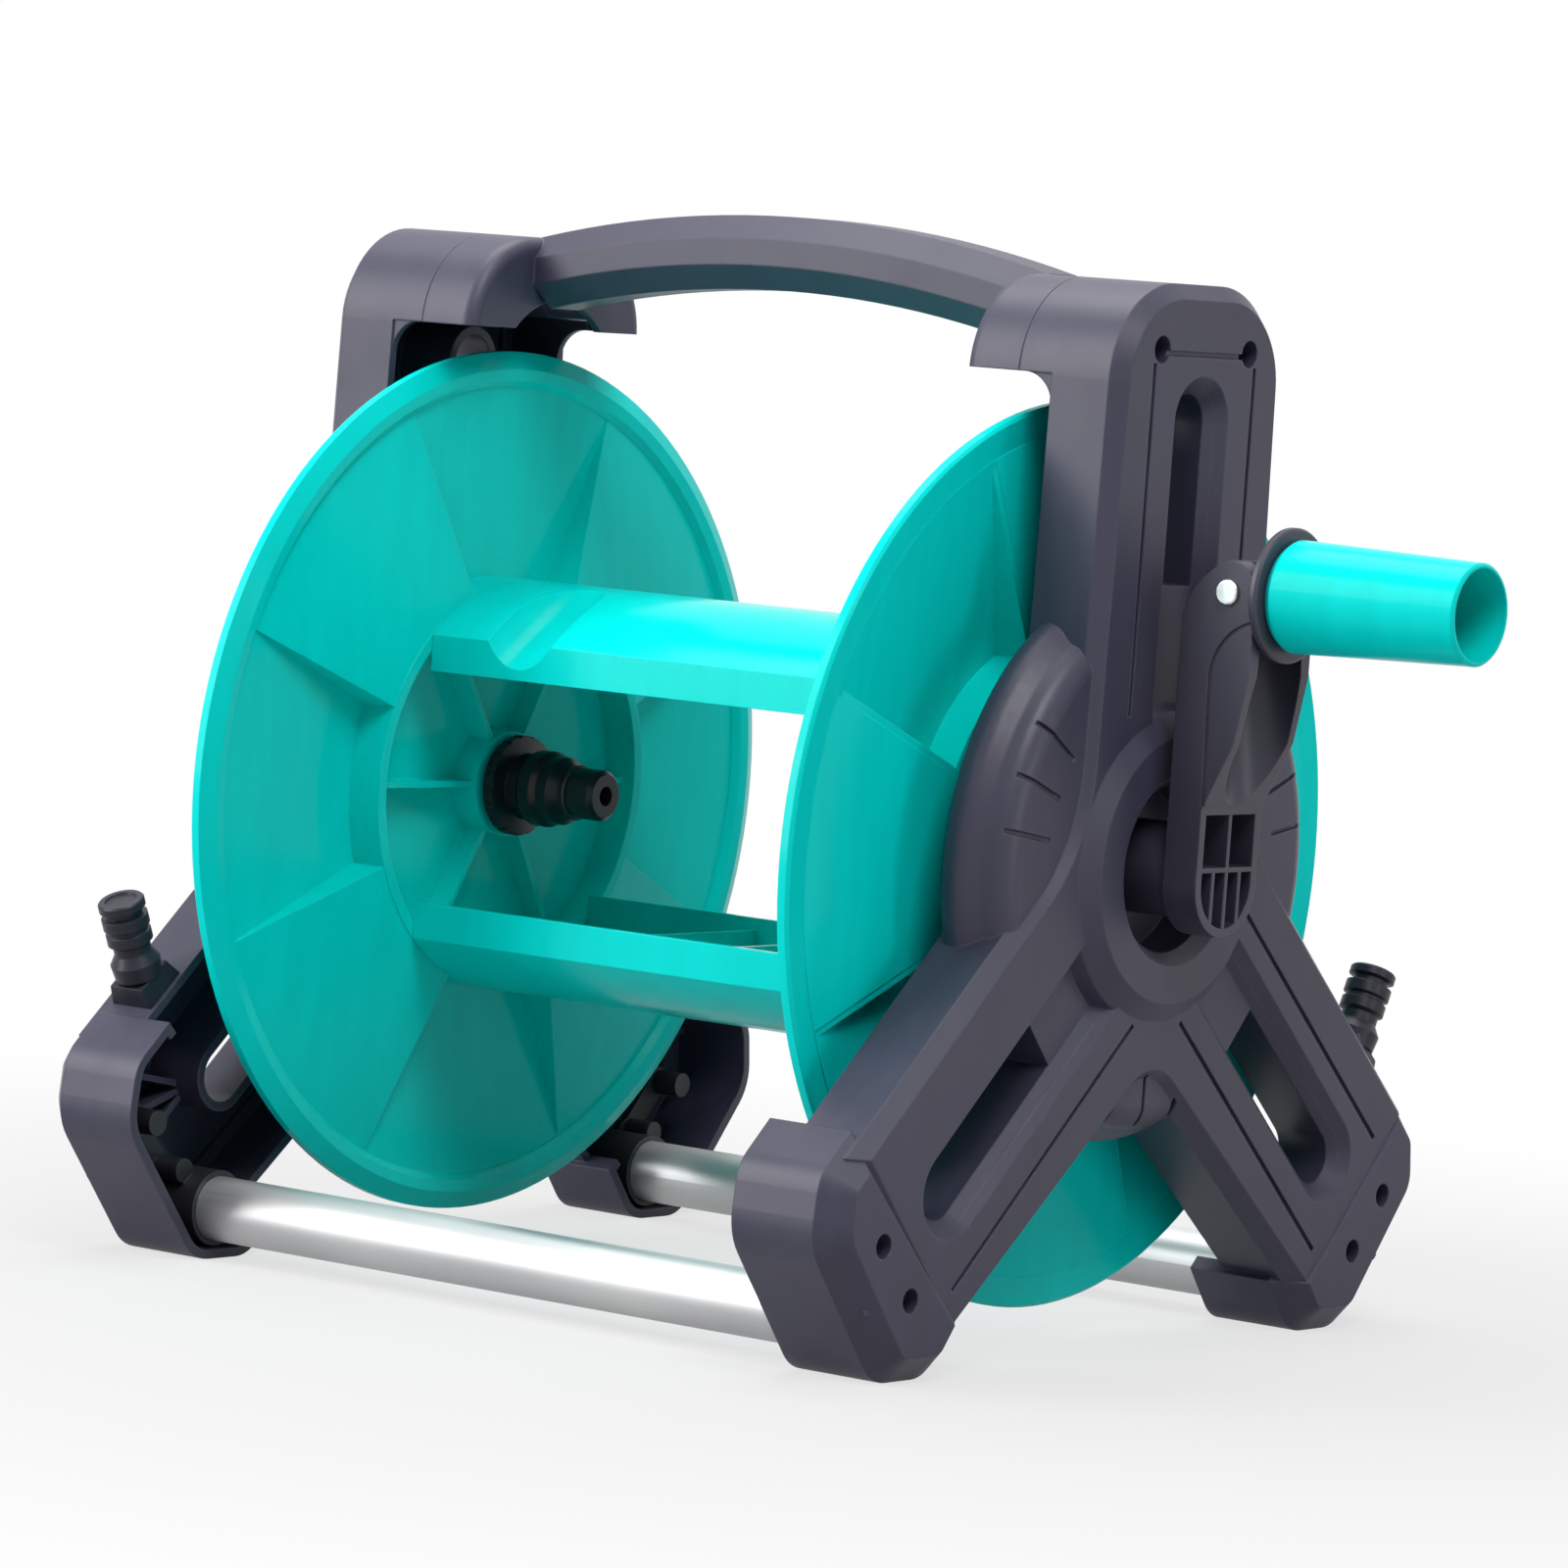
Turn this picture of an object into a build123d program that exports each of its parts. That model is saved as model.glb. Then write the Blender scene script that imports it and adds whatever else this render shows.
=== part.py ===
from build123d import *
from math import cos, radians, sin, sqrt
import os

os.makedirs("parts", exist_ok=True)

# Placing: the origin lies on the floor under the middle of the overall width.
# Stations along X are counted from the middle plane of the reel.
mid_x = -43.5
axis_z = 161.0

# Running clearances and seats
running = 0.06
seat = 0.3

# Reel
flange_r = 150.0
rim_bead = 10.0
face_r = flange_r - rim_bead
rim_out = 126.0
rim_in = rim_out - 4.0
skin = 2.5
drum_r = 71.5
drum_wall = 3.0
hub_floor = rim_out - 3.0
dish_depth = 12.5
drum_half = hub_floor - dish_depth
boss_r = 19.0
boss_length = 11.0
boss_end = hub_floor - boss_length
key = 15.0

# Side frame
wall = 3.2
side_gap = 13.5
arm_depth = 27.5
arm_in = rim_out + side_gap
face_u = arm_in + arm_depth
seam_u = rim_out + 0.5
foot_in = rim_out + 1.0
foot_face = face_u + 1.0
arm_half = 50.0
top_half = 46.0
column_rise = 40.0
column_top = flange_r + column_rise
leg_fall = 42.0
leg_out = 40.5
leg_end = 176.0
crotch = -67.0
bevel = 5.0
boot_bevel = 9.0
root_r = 11.0
disc_r = 92.0
disc_drop = 3.0
disc_u = face_u - disc_drop
ring_r = 44.0
ring_foot = ring_r + 10.0
ring_rise = 4.5
ring_u = face_u + ring_rise
recess_r = 27.5
recess_depth = 19.5
recess_u = ring_u - recess_depth
slot_half = 9.3
well_depth = 6.0
well_u = face_u - well_depth
well_start = ring_r + 6.0
leg_slot_end = leg_end - 29.0
leg_slot_t = -3.5
column_slot_end = column_top - 44.7
bush_r = 14.0
journal_r = 11.0
collar_gap = 4.8
tube_end_u = hub_floor + wall + collar_gap

# Tie tubes and their sockets
tube_r = 11.0
tube_wall = 1.5
tube_y = 117.4
tube_z = 16.4 - axis_z
plate_depth = 19.5
plate_u = foot_face - plate_depth
foot_holes = ((tube_y + 25.1, tube_z + 29.3), (tube_y + 9.0, tube_z + 11.0))
foot_head_u = plate_u + wall + 3.3

# Carry handle
hood_depth = 22.5
hood_in = seam_u - hood_depth
hood_base = flange_r + 8.5
hole_y = 25.0
hole_z = hood_base + 10.0
head_depth = 20.0

# Crank
crank_gap = 5.5
arm_back = ring_u + crank_gap
crank_depth = 13.0
arm_rim = arm_back + crank_depth
crank_half = 17.2
pin_u = arm_rim + 4.0
pin_z = 92.5
pin_r = 3.0
cheek_r = 10.5
lug_half = 8.8
disc_back = pin_u + cheek_r + 0.4
grip_start = disc_back + 3.3
grip_length = 70.8
grip_end = grip_start + grip_length
spindle_r = 8.0

reel_axis = Axis((mid_x, 0, axis_z), (1, 0, 0))


def across(u):
    """Plane square to the reel axis at station u; sketch axes are Y and height over the axis."""
    return Plane(origin=(mid_x + u, 0, axis_z), x_dir=(0, 1, 0), z_dir=(1, 0, 0))


def radial(angle):
    """Plane holding the reel axis; sketch axes are radius and station u."""
    a = radians(angle)
    return Plane(origin=(mid_x, 0, axis_z), x_dir=(0, cos(a), sin(a)), z_dir=(0, sin(a), -cos(a)))


def upright(y):
    """Plane parallel to the middle plane of the legs; sketch axes are station u and height."""
    return Plane(origin=(mid_x, y, axis_z), x_dir=(1, 0, 0), z_dir=(0, -1, 0))


def leg_point(s, t):
    """Point of the rear leg at s along it and t across it, as Y and height over the axis."""
    a = radians(leg_fall)
    return (s * cos(a) + t * sin(a), t * cos(a) - s * sin(a))


def column_point(s, t):
    """Point of the column at s up it and t across it, as Y and height over the axis."""
    return (-t, s)


def arm_slot(place, start, end, middle):
    """Slot along one arm: square at the hub end, round at the far end."""
    with BuildSketch() as outline:
        with BuildLine():
            Polyline(
                place(end, middle + slot_half),
                place(start, middle + slot_half),
                place(start, middle - slot_half),
                place(end, middle - slot_half),
            )
            ThreePointArc(
                place(end, middle - slot_half),
                place(end + slot_half, middle),
                place(end, middle + slot_half),
            )
        make_face()
    return outline.sketch_local


def near(builder, x, y):
    return builder.vertices().sort_by_distance((x, y, 0))[0]


# Outline of the column and the two splayed legs
shoulder = (leg_out - arm_half * sin(radians(leg_fall))) / cos(radians(leg_fall))
with BuildSketch() as arms:
    with BuildLine():
        Polyline(
            (0, column_top),
            (top_half, column_top),
            (arm_half, shoulder),
            leg_point(leg_end, leg_out),
            leg_point(leg_end, -43),
            (0, crotch),
            close=True,
        )
    make_face()
    mirror(about=Plane.YZ)
    fillet([near(arms, top_half, column_top), near(arms, -top_half, column_top)], 33)
    fillet([near(arms, arm_half, shoulder), near(arms, -arm_half, shoulder)], 60)
    fillet(near(arms, 0, crotch), 14)

# Outline of one boot, wider than the leg that stands in it
boot_points = (
    leg_point(leg_end - 10, leg_out + 2),
    (tube_y + 49.1, tube_z + 51.6),
    (tube_y + 51.6, tube_z + 29.6),
    (tube_y + 14.6, -axis_z),
    (tube_y - 13.4, -axis_z),
    leg_point(leg_end - 14, -46),
)
with BuildSketch() as boot:
    with BuildLine():
        Polyline(*boot_points, close=True)
    make_face()
    fillet(near(boot, *boot_points[1]), 14)
    fillet(near(boot, *boot_points[2]), 20)
    fillet(near(boot, *boot_points[3]), 15)
    fillet(near(boot, *boot_points[4]), 14)

# Each arm has a bevelled well from the hub ring on; the slot goes right through its outer part
leg_slot = arm_slot(leg_point, disc_r - 12, leg_slot_end, leg_slot_t)
leg_well = arm_slot(leg_point, well_start, leg_slot_end, leg_slot_t)
column_slot = arm_slot(column_point, disc_r, column_slot_end, 0)
column_well = arm_slot(column_point, well_start, column_slot_end, 0)

# Boot body, both feet of one frame
with BuildPart() as boots:
    with BuildSketch(across(foot_in)):
        add(boot.sketch_local)
    extrude(amount=foot_face - foot_in)
    chamfer(boots.faces().sort_by(Axis.X)[-1].outer_wire().edges(), length=boot_bevel)
    mirror(about=Plane.XZ)

# Hollow of the frame: a wide opening from the inner side and a narrower bottom inside the bevel
with BuildPart() as frame_hollow:
    for inset, depth in ((wall, face_u - bevel - 1), (wall + bevel - 1, face_u - wall)):
        with BuildSketch(across(seam_u - 1)):
            add(arms.sketch_local)
            offset(amount=-inset, mode=Mode.REPLACE)
        extrude(amount=depth - seam_u + 1)
    for inset, depth in ((wall, foot_face - boot_bevel - 1), (wall + boot_bevel - 1, foot_face - wall)):
        with BuildSketch(across(foot_in - 1)):
            add(boot.sketch_local)
            offset(amount=-inset, mode=Mode.REPLACE)
            mirror(about=Plane.YZ)
        extrude(amount=depth - foot_in + 1)

with BuildPart() as right_side_frame:
    with BuildSketch(across(arm_in)):
        add(arms.sketch_local)
    extrude(amount=face_u - arm_in)
    chamfer(right_side_frame.faces().sort_by(Axis.X)[-1].outer_wire().edges(), length=bevel)
    # block at the column top that meets the handle hood, rounded into the column
    with BuildSketch(across(seam_u)):
        add(arms.sketch_local)
        with Locations((0, hood_base + 50)):
            Rectangle(200, 100, mode=Mode.INTERSECT)
    extrude(amount=arm_in - seam_u)
    with BuildSketch(upright(top_half)) as root:
        with Locations((arm_in - root_r / 2, hood_base - root_r / 2)):
            Rectangle(root_r, root_r)
        with Locations((arm_in - root_r, hood_base - root_r)):
            Circle(root_r, mode=Mode.SUBTRACT)
    extrude(amount=2 * top_half)
    add(boots.part)
    # hub disc between the arms: rounded rim, valley and ridge
    with BuildSketch(radial(0)):
        with BuildLine():
            Spline(
                (disc_r - 7, disc_u - 23),
                (disc_r - 1, disc_u - 21),
                (disc_r, disc_u - 16.5),
                (disc_r - 1.6, disc_u - 12),
                (disc_r - 4.4, disc_u - 8.6),
                (disc_r - 5.6, disc_u - 5),
                (disc_r - 8.4, disc_u - 1.8),
                (disc_r - 13, disc_u),
            )
            Polyline((disc_r - 13, disc_u), (ring_foot, disc_u), (ring_foot - 3.4, disc_u - wall))
            Polyline((ring_foot - 3.4, disc_u - wall), (disc_r - 15, disc_u - wall))
            Polyline((disc_r - 15, disc_u - wall), (disc_r - 9.5, disc_u - 7))
            Polyline((disc_r - 9.5, disc_u - 7), (disc_r - 9.5, disc_u - 23), (disc_r - 7, disc_u - 23))
        make_face()
    revolve(axis=reel_axis)
    add(frame_hollow.part, mode=Mode.SUBTRACT)
    # collars round the slots and floors under the wells
    with BuildSketch(across(arm_in + 2)):
        offset(leg_slot, amount=3.2, mode=Mode.ADD)
        mirror(about=Plane.YZ)
        offset(column_slot, amount=3.2, mode=Mode.ADD)
    extrude(amount=face_u - 1 - arm_in - 2)
    with BuildSketch(across(well_u - wall)):
        offset(leg_well, amount=3.2, mode=Mode.ADD)
        mirror(about=Plane.YZ)
        offset(column_well, amount=3.2, mode=Mode.ADD)
    extrude(amount=face_u - 1 - well_u + wall)
    # screw pillars behind the handle holes and the boot holes
    with BuildSketch(across(seam_u)):
        with Locations((hole_y, hole_z), (-hole_y, hole_z)):
            Circle(6.5)
    extrude(amount=face_u - 1 - seam_u)
    with BuildSketch(across(plate_u + wall)):
        with Locations(*foot_holes, *((-y, z) for y, z in foot_holes)):
            Circle(6.2)
    extrude(amount=foot_face - 1 - plate_u - wall)
    # ribs fanning out from the slot end to the boot wall
    for side in (1, -1):
        for t_end, s_end in ((34.5, leg_end + 8), (15.5, leg_end + 21), (-4.5, leg_end + 24)):
            y0, z0 = leg_point(leg_slot_end + 7, leg_slot_t)
            y1, z1 = leg_point(s_end, t_end)
            with BuildSketch(across(plate_u + wall + seat)):
                with BuildLine():
                    Line((side * y0, z0), (side * y1, z1))
                trace(line_width=2.2)
            extrude(amount=face_u - 2 - plate_u - wall - seat)
    # wells with bevelled sides, and the slots through them
    with BuildSketch(across(well_u)):
        add(leg_well)
        mirror(about=Plane.YZ)
        add(column_well)
    extrude(amount=ring_u + 10 - well_u, mode=Mode.SUBTRACT)
    with BuildSketch(across(face_u)):
        offset(leg_well, amount=face_u - well_u, mode=Mode.ADD)
        mirror(about=Plane.YZ)
        offset(column_well, amount=face_u - well_u, mode=Mode.ADD)
    extrude(amount=well_u - face_u, taper=44.5, mode=Mode.SUBTRACT)
    with BuildSketch(across(seam_u)):
        add(leg_slot)
        mirror(about=Plane.YZ)
        add(column_slot)
    extrude(amount=ring_u + 10 - seam_u, mode=Mode.SUBTRACT)
    # raised ring with the crank recess, its floor and the bearing seat
    with BuildSketch(radial(0)):
        with BuildLine():
            Polyline(
                (bush_r + running, tube_end_u),
                (bush_r + 4.5, tube_end_u),
                (bush_r + 4.5, recess_u - wall),
                (recess_r + wall, recess_u - wall),
                (recess_r + wall, ring_u - wall - 0.6),
                (ring_r - 1.5, ring_u - wall - 0.6),
                (ring_r + 4.5, face_u - wall - 1),
                (ring_foot - 3.4, well_u - wall),
                (ring_foot, well_u - wall),
                (ring_foot, well_u),
                (ring_r + 7.5, face_u - 1),
                (ring_r, ring_u),
                (recess_r + 4, ring_u),
                (recess_r, ring_u - 4.5),
                (recess_r, recess_u),
                (bush_r + running, recess_u),
                close=True,
            )
        make_face()
    revolve(axis=reel_axis)
    with BuildSketch(across(recess_u)):
        Circle(recess_r)
    extrude(amount=recess_depth + 10, mode=Mode.SUBTRACT)
    # screw holes
    with BuildSketch(across(face_u + 5)):
        with Locations((hole_y, hole_z), (-hole_y, hole_z)):
            Circle(4.5)
    extrude(amount=-head_depth - 5, mode=Mode.SUBTRACT)
    with BuildSketch(across(face_u + 5)):
        with Locations((hole_y, hole_z), (-hole_y, hole_z)):
            Circle(2.5 + running)
    extrude(amount=seam_u - 10 - face_u - 5, mode=Mode.SUBTRACT)
    with BuildSketch(across(face_u + 5)):
        with Locations(*foot_holes, *((-y, z) for y, z in foot_holes)):
            Circle(4.0)
    extrude(amount=foot_head_u - face_u - 5, mode=Mode.SUBTRACT)
    with BuildSketch(across(face_u + 5)):
        with Locations(*foot_holes, *((-y, z) for y, z in foot_holes)):
            Circle(2.0 + running)
    extrude(amount=plate_u - 6 - face_u - 5, mode=Mode.SUBTRACT)
    # shadow grooves on the outer face
    with BuildSketch(across(face_u + 1)):
        with Locations((28.5, column_top - 83), (-28.5, column_top - 83)):
            Rectangle(1.8, 114)
        with Locations((0, hole_z - 1)):
            Rectangle(42, 1.8)
        with BuildLine():
            Line(leg_point(ring_r, -29), leg_point(leg_end - 11, -29))
        trace(line_width=1.8)
        mirror(about=Plane.YZ)
        with BuildLine():
            Line(leg_point(ring_r + 2, 20), leg_point(leg_end - 11, 20))
        trace(line_width=1.8)
        Circle(ring_r + 7, mode=Mode.SUBTRACT)
    extrude(amount=-2.4, mode=Mode.SUBTRACT)
    # three finger grooves on the hub disc in each gap between the arms
    for middle in (21.5, 158.5, 270):
        for turn in (-12.5, 0, 12.5):
            with BuildSketch(radial(middle + turn)):
                with BuildLine():
                    Polyline(
                        (disc_r - 28, disc_u + 1),
                        (disc_r - 28, disc_u - 0.6),
                        (disc_r - 24, disc_u - 1.3),
                        (disc_r - 14, disc_u - 1.3),
                        (disc_r - 8, disc_u - 3.6),
                        (disc_r - 5, disc_u - 3.6),
                        (disc_r - 5, disc_u + 1),
                        close=True,
                    )
                make_face()
            extrude(amount=0.8, both=True, mode=Mode.SUBTRACT)
    # hole for the stud of the parking peg in the rear leg
    peg_u = arm_in + 10.0
    peg_y, peg_z = leg_point(leg_end - 24.9, leg_out)
    wall_plane = Plane(
        origin=(mid_x + peg_u, peg_y, axis_z + peg_z),
        x_dir=(1, 0, 0),
        z_dir=(0, sin(radians(leg_fall)), cos(radians(leg_fall))),
    )
    with BuildSketch(wall_plane):
        Circle(4.0)
    extrude(amount=-8, mode=Mode.SUBTRACT)
right_side_frame.part.label = "right_side_frame"
export_step(right_side_frame.part, "parts/right_side_frame.step")

# The left frame is the same moulding turned half a turn
with BuildPart() as left_side_frame:
    with Locations((2 * mid_x, 0, 0)):
        add(right_side_frame.part, rotation=(0, 0, 180))
left_side_frame.part.label = "left_side_frame"
export_step(left_side_frame.part, "parts/left_side_frame.step")

# Bearing bush in each frame, with a thrust collar towards the reel
with BuildPart() as right_bush:
    with BuildSketch(radial(0)):
        with BuildLine():
            Polyline(
                (journal_r + running, tube_end_u - 2.7),
                (bush_r + 4, tube_end_u - 2.7),
                (bush_r + 4, tube_end_u - 0.2),
                (bush_r, tube_end_u - 0.2),
                (bush_r, recess_u + 0.8),
                (journal_r + running, recess_u + 0.8),
                close=True,
            )
        make_face()
    revolve(axis=reel_axis)
right_bush.part.label = "right_bush"
export_step(right_bush.part, "parts/right_bush.step")

with BuildPart() as left_bush:
    mirror(right_bush.part, about=Plane.YZ.offset(mid_x))
left_bush.part.label = "left_bush"
export_step(left_bush.part, "parts/left_bush.step")

# Tie tubes
with BuildPart() as front_tube:
    with BuildSketch(across(-plate_u)):
        with Locations((-tube_y, tube_z)):
            Circle(tube_r)
            Circle(tube_r - tube_wall, mode=Mode.SUBTRACT)
    extrude(amount=2 * plate_u)
front_tube.part.label = "front_tube"
export_step(front_tube.part, "parts/front_tube.step")

with BuildPart() as rear_tube:
    mirror(front_tube.part, about=Plane.XZ)
rear_tube.part.label = "rear_tube"
export_step(rear_tube.part, "parts/rear_tube.step")

# Tube socket: a cup for the tube end and a plate with two screw ears
with BuildPart() as rear_right_socket:
    with BuildSketch(across(plate_u + 0.1)):
        with Locations((tube_y, tube_z)):
            Circle(tube_r + 1.9)
        with Locations(*foot_holes):
            Circle(5.6)
        with BuildLine():
            Polyline((tube_y, tube_z), foot_holes[1], foot_holes[0])
        trace(line_width=9)
    extrude(amount=wall - 0.2)
    with BuildSketch(across(plate_u - 18)):
        with Locations((tube_y, tube_z)):
            Circle(tube_r + 1.9)
            Circle(tube_r + running, mode=Mode.SUBTRACT)
    extrude(amount=18.2)
    with BuildSketch(across(plate_u - 11)):
        with Locations(foot_holes[0]):
            Circle(4.4)
        with Locations((foot_holes[1][0] + 1.2, foot_holes[1][1] + 1.4)):
            Circle(4.2)
    extrude(amount=11.2)
    with BuildSketch(across(plate_u - 18)):
        with Locations((tube_y, tube_z)):
            Circle(tube_r + running)
    extrude(amount=18, mode=Mode.SUBTRACT)
    with BuildSketch(across(plate_u + 5)):
        with Locations(*foot_holes):
            Circle(2.0 + running)
    extrude(amount=-13.5, mode=Mode.SUBTRACT)
rear_right_socket.part.label = "rear_right_socket"
export_step(rear_right_socket.part, "parts/rear_right_socket.step")

with BuildPart() as front_right_socket:
    mirror(rear_right_socket.part, about=Plane.XZ)
front_right_socket.part.label = "front_right_socket"
export_step(front_right_socket.part, "parts/front_right_socket.step")

with BuildPart() as rear_left_socket:
    mirror(rear_right_socket.part, about=Plane.YZ.offset(mid_x))
rear_left_socket.part.label = "rear_left_socket"
export_step(rear_left_socket.part, "parts/rear_left_socket.step")

with BuildPart() as front_left_socket:
    mirror(rear_left_socket.part, about=Plane.XZ)
front_left_socket.part.label = "front_left_socket"
export_step(front_left_socket.part, "parts/front_left_socket.step")

# Two screws in each boot
with BuildPart() as foot_screws:
    with BuildSketch(across(foot_head_u + 0.1)):
        with Locations(*foot_holes, *((-y, z) for y, z in foot_holes)):
            Circle(3.6)
    extrude(amount=2.4)
    with BuildSketch(across(plate_u - 8)):
        with Locations(*foot_holes, *((-y, z) for y, z in foot_holes)):
            Circle(2.0)
    extrude(amount=11.4 + wall)
    mirror(about=Plane.YZ.offset(mid_x))
foot_screws.part.label = "foot_screws"
export_step(foot_screws.part, "parts/foot_screws.step")

# Carry handle: arched bar between two hollow hoods
with BuildPart() as carry_handle:
    with BuildSketch(across(hood_in)):
        add(arms.sketch_local)
        with Locations((0, hood_base + 50)):
            Rectangle(200, 100, mode=Mode.INTERSECT)
    extrude(amount=seam_u - 0.2 - hood_in)
    fillet(carry_handle.faces().sort_by(Axis.X)[0].edges().filter_by(
        lambda e: e.center().Z > axis_z + hood_base + 1), 5)
    with BuildSketch(across(hood_in + wall)):
        add(arms.sketch_local)
        offset(amount=-wall, mode=Mode.REPLACE)
        with Locations((0, hood_base + 50)):
            Rectangle(200, 102, mode=Mode.INTERSECT)
    extrude(amount=40, mode=Mode.SUBTRACT)
    # arched lower edge of the inner face
    with BuildSketch(across(hood_in - 1)):
        with Locations((0, hood_base - 22)):
            Circle(32)
    extrude(amount=6, mode=Mode.SUBTRACT)
    # screw pillars
    with BuildSketch(across(hood_in + 1)):
        with Locations((hole_y, hole_z), (-hole_y, hole_z)):
            Circle(6.5)
    extrude(amount=seam_u - 0.2 - hood_in - 1)
    with BuildSketch(across(hood_in + 6)):
        with Locations((hole_y, hole_z), (-hole_y, hole_z)):
            Circle(2.5 + running)
    extrude(amount=40, mode=Mode.SUBTRACT)
    mirror(about=Plane.YZ.offset(mid_x))
    # bar: eight-sided section swept along a shallow arch
    with BuildLine() as arch:
        ThreePointArc(
            (mid_x - hood_in - 1, 0, axis_z + column_top - 12.0),
            (mid_x, 0, axis_z + column_top + 0.5),
            (mid_x + hood_in + 1, 0, axis_z + column_top - 12.0),
        )
    with BuildSketch(Plane(origin=arch.line @ 0, x_dir=(0, 1, 0), z_dir=arch.line % 0)) as bar_section:
        Rectangle(31, 25)
        chamfer(bar_section.vertices(), 8)
    sweep(path=arch.line)
carry_handle.part.label = "carry_handle"
export_step(carry_handle.part, "parts/carry_handle.step")

# Two screws through each column top into the hood
with BuildPart() as handle_screws:
    with BuildSketch(across(face_u - head_depth)):
        with Locations((hole_y, hole_z), (-hole_y, hole_z)):
            Circle(4.2)
    extrude(amount=3)
    with BuildSketch(across(hood_in + 8)):
        with Locations((hole_y, hole_z), (-hole_y, hole_z)):
            Circle(2.5)
    extrude(amount=face_u - head_depth + 0.5 - hood_in - 8)
    mirror(about=Plane.YZ.offset(mid_x))
handle_screws.part.label = "handle_screws"
export_step(handle_screws.part, "parts/handle_screws.step")

# Flange: rim bead, hub ring with a webbed dish, eight sectors alternately flat and rising to the hub
bolt_y = 31.0
bolt_inset = 6.5276
bolt_z = sqrt((drum_r - bolt_inset) ** 2 - bolt_y**2)
with BuildPart() as left_flange:
    with BuildSketch(radial(0)) as rim:
        with BuildLine():
            Polyline(
                (face_r - 2, -rim_in - skin),
                (flange_r - 1, -rim_out),
                (flange_r, -rim_out + 1),
                (flange_r, -rim_in),
                (face_r + 4, -rim_in + 3),
                (face_r, -rim_in + 2.4),
                (face_r - 2, -rim_in),
                close=True,
            )
        make_face()
    revolve(axis=reel_axis)
    with BuildSketch(radial(0)):
        with BuildLine():
            Polyline(
                (key, -hub_floor - wall),
                (drum_r, -hub_floor - wall),
                (drum_r, -drum_half),
                (drum_r - 4, -drum_half),
                (drum_r - 5, -hub_floor),
                (boss_r, -hub_floor),
                (boss_r - 0.6, -boss_end),
                (key - 4, -boss_end),
                (key - 4, -hub_floor - 5),
                (key, -hub_floor - 5),
                close=True,
            )
        make_face()
    revolve(axis=reel_axis)
    for k in range(4):
        with BuildSketch(radial(-22.5 + 90 * k)):
            with BuildLine():
                Polyline(
                    (drum_r - 2, -hub_floor - 1.2),
                    (face_r, -rim_in - 0.5),
                    (face_r, -rim_in - 0.5 - skin),
                    (drum_r - 2, -hub_floor - 1.2 - skin),
                    close=True,
                )
            make_face()
        revolve(axis=reel_axis, revolution_arc=45)
        with BuildSketch(radial(22.5 + 90 * k)):
            with BuildLine():
                Polyline(
                    (drum_r - 2, -drum_half),
                    (face_r, -rim_in - 0.5),
                    (face_r, -rim_in - 0.5 - skin),
                    (drum_r - 2, -drum_half - skin),
                    close=True,
                )
            make_face()
        revolve(axis=reel_axis, revolution_arc=45)
        # upright steps on both sides of the rising sector
        for angle, side in ((22.5, 1), (67.5, -1)):
            with BuildSketch(radial(angle + 90 * k)):
                with BuildLine():
                    Polyline(
                        (drum_r - 2, -drum_half),
                        (face_r, -rim_in - 0.5),
                        (face_r, -rim_in - skin),
                        (drum_r - 2, -hub_floor - 1.2 - skin),
                        close=True,
                    )
                make_face()
            extrude(amount=-side * skin)
    # webs of the dish and bosses for the bar screws
    for k in range(6):
        with BuildSketch(radial(60 * k)):
            with BuildLine():
                Polyline(
                    (boss_r - 2, -hub_floor - 1),
                    (drum_r - 3, -hub_floor - 1),
                    (drum_r - 3, -drum_half - 5),
                    (boss_r - 2, -boss_end - 2),
                    close=True,
                )
            make_face()
        extrude(amount=1.1, both=True)
    with BuildSketch(across(-hub_floor - 1)):
        with GridLocations(2 * bolt_y, 2 * bolt_z, 2, 2):
            Circle(4.5)
    extrude(amount=hub_floor + 1 - drum_half)
    with BuildSketch(across(-hub_floor - 6)):
        Rectangle(key + 0.1, key + 0.1)
    extrude(amount=30, mode=Mode.SUBTRACT)
    with BuildSketch(across(-hub_floor - 6)):
        with GridLocations(2 * bolt_y, 2 * bolt_z, 2, 2):
            Circle(2.0 + running)
    extrude(amount=30, mode=Mode.SUBTRACT)
left_flange.part.label = "left_flange"
export_step(left_flange.part, "parts/left_flange.step")

with BuildPart() as right_flange:
    mirror(left_flange.part, about=Plane.YZ.offset(mid_x))
right_flange.part.label = "right_flange"
export_step(right_flange.part, "parts/right_flange.step")

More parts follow.
